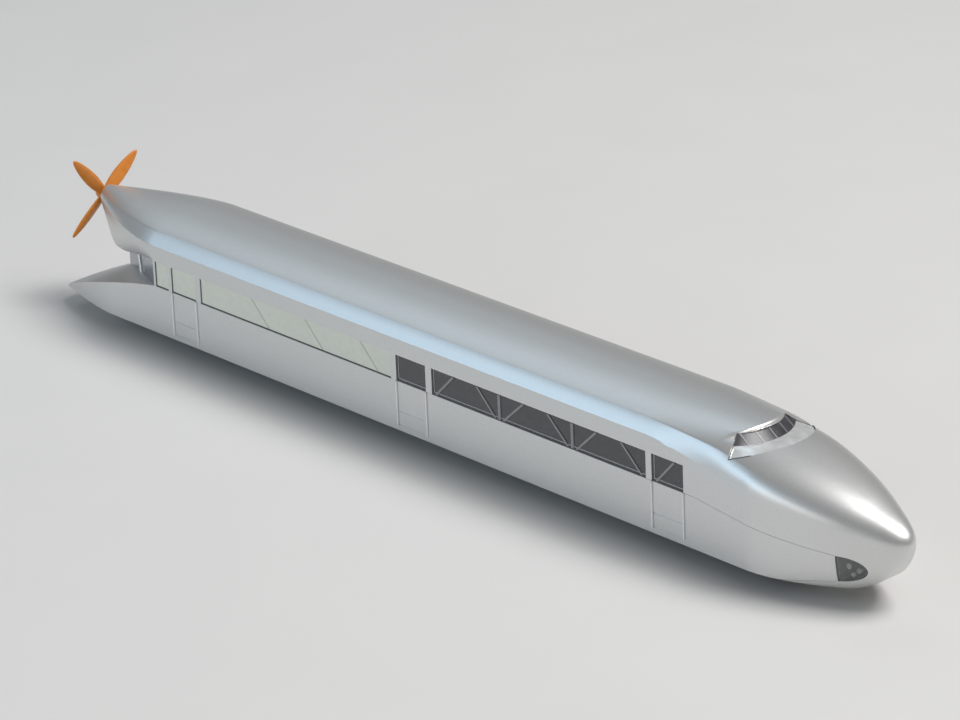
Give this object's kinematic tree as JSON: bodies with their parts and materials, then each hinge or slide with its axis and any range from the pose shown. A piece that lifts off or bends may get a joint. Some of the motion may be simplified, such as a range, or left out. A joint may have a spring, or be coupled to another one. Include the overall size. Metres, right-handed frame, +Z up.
{
  "type": "propeller railcar model",
  "caption": "Streamlined model railcar with a bullet nose, glazed side windows, two single-axle trucks, a geared motor truck and a pusher propeller over a bill-shaped tail.",
  "frame": {"origin": "on the standing surface, below the middle of the bounding box", "axes": "+X towards the bullet nose, +Y to the left side, +Z up"},
  "size_m": [0.297, 0.0314, 0.0408],
  "materials": {
    "silver_paint": "satin metallic silver paint",
    "bright_trim": "bright silver",
    "clear_plastic": "clear moulded plastic",
    "cream_plastic": "pale cream, satin",
    "grey_print": "light grey",
    "amber_plastic": "amber orange, slightly translucent",
    "black_plastic": "black moulded",
    "seat_plastic": "dark brown moulded",
    "diecast": "blackened diecast",
    "steel": "turned steel",
    "dark_steel": "blackened steel",
    "brass": "machined brass",
    "copper": "enamelled copper",
    "board_green": "circuit board",
    "lamp_white": "lamp",
    "rubber": "soft black rubber",
    "carbon": "carbon"
  },
  "bodies": {
    "car_body": {"upper_body_shell": "silver_paint", "lower_body_shell": "silver_paint", "side_glazing_left": "clear_plastic", "side_glazing_right": "clear_plastic", "window_blank_left": "cream_plastic", "window_blank_right": "cream_plastic", "window_truss": "grey_print", "door_handrails": "bright_trim", "windscreen": "clear_plastic", "windscreen_mullions": "bright_trim", "headlight_left": "clear_plastic", "headlight_right": "clear_plastic", "stern_glazing": "clear_plastic", "stern_posts": "silver_paint", "nose_hatch": "black_plastic", "floor_plate": "black_plastic", "chassis_frame": "diecast", "motor_bridge": "black_plastic", "ballast_weight": "dark_steel", "passenger_seats": "seat_plastic", "body_screws": "steel", "circuit_board": "board_green", "lamps": "lamp_white", "light_guide": "clear_plastic", "front_pivot_pin": "steel", "motor_pivot_pin": "steel", "propeller_bush": "brass", "propeller_motor_can": "steel", "propeller_motor_bracket": "black_plastic"},
    "propeller_unit": {"propeller": "amber_plastic", "propeller_spinner": "amber_plastic", "propeller_shaft": "steel", "coupling_sleeve": "rubber", "propeller_motor_rotor": "steel"},
    "front_truck": {"front_truck_frame": "black_plastic", "front_axle_bearings": "brass", "front_pickup_springs": "brass"},
    "front_wheelset": {"front_axle": "steel", "front_wheel_left": "dark_steel", "front_wheel_right": "dark_steel", "front_wheel_bushes": "black_plastic"},
    "motor_truck": {"motor_truck_frame": "diecast", "rear_axle_bearings": "brass", "idler_pin": "steel", "armature_bearings": "brass", "field_magnets": "dark_steel", "brushes": "carbon", "brush_plate": "black_plastic"},
    "rear_wheelset": {"rear_axle": "steel", "rear_wheel_left": "dark_steel", "rear_wheel_right": "dark_steel", "rear_wheel_bushes": "black_plastic", "traction_tyres": "rubber", "axle_gear": "brass"},
    "idler": {"idler_gear": "brass"},
    "armature": {"armature_pinion": "brass", "armature_core": "steel", "armature_windings": "copper", "armature_shaft": "steel", "commutator": "copper"}
  },
  "joints": [
    {"name": "propeller_spin", "type": "hinge", "parent": "car_body", "child": "propeller_unit", "pos_m": [-0.1434, 0, 0.0292], "axis": [1, 0, 0], "continuous": true},
    {"name": "front_truck_swivel", "type": "hinge", "parent": "car_body", "child": "front_truck", "pos_m": [0.083, 0, 0.0165], "axis": [0, 0, 1], "range_deg": [-4, 4]},
    {"name": "front_wheels_spin", "type": "hinge", "parent": "front_truck", "child": "front_wheelset", "pos_m": [0.083, 0, 0.00695], "axis": [0, 1, 0], "continuous": true},
    {"name": "motor_truck_swivel", "type": "hinge", "parent": "car_body", "child": "motor_truck", "pos_m": [-0.073, 0, 0.0265], "axis": [0, 0, 1], "range_deg": [-4, 4]},
    {"name": "rear_wheels_spin", "type": "hinge", "parent": "motor_truck", "child": "rear_wheelset", "pos_m": [-0.073, 0, 0.00695], "axis": [0, 1, 0], "continuous": true},
    {"name": "idler_spin", "type": "hinge", "parent": "motor_truck", "child": "idler", "pos_m": [-0.0685, 0, 0.01322], "axis": [0, 1, 0], "continuous": true},
    {"name": "armature_spin", "type": "hinge", "parent": "motor_truck", "child": "armature", "pos_m": [-0.067, 0, 0.01833], "axis": [0, 1, 0], "continuous": true}
  ],
  "couplings": [
    {"joint": "idler_spin", "follows": "rear_wheels_spin", "ratio": -1.375},
    {"joint": "armature_spin", "follows": "rear_wheels_spin", "ratio": 2.2}
  ]
}
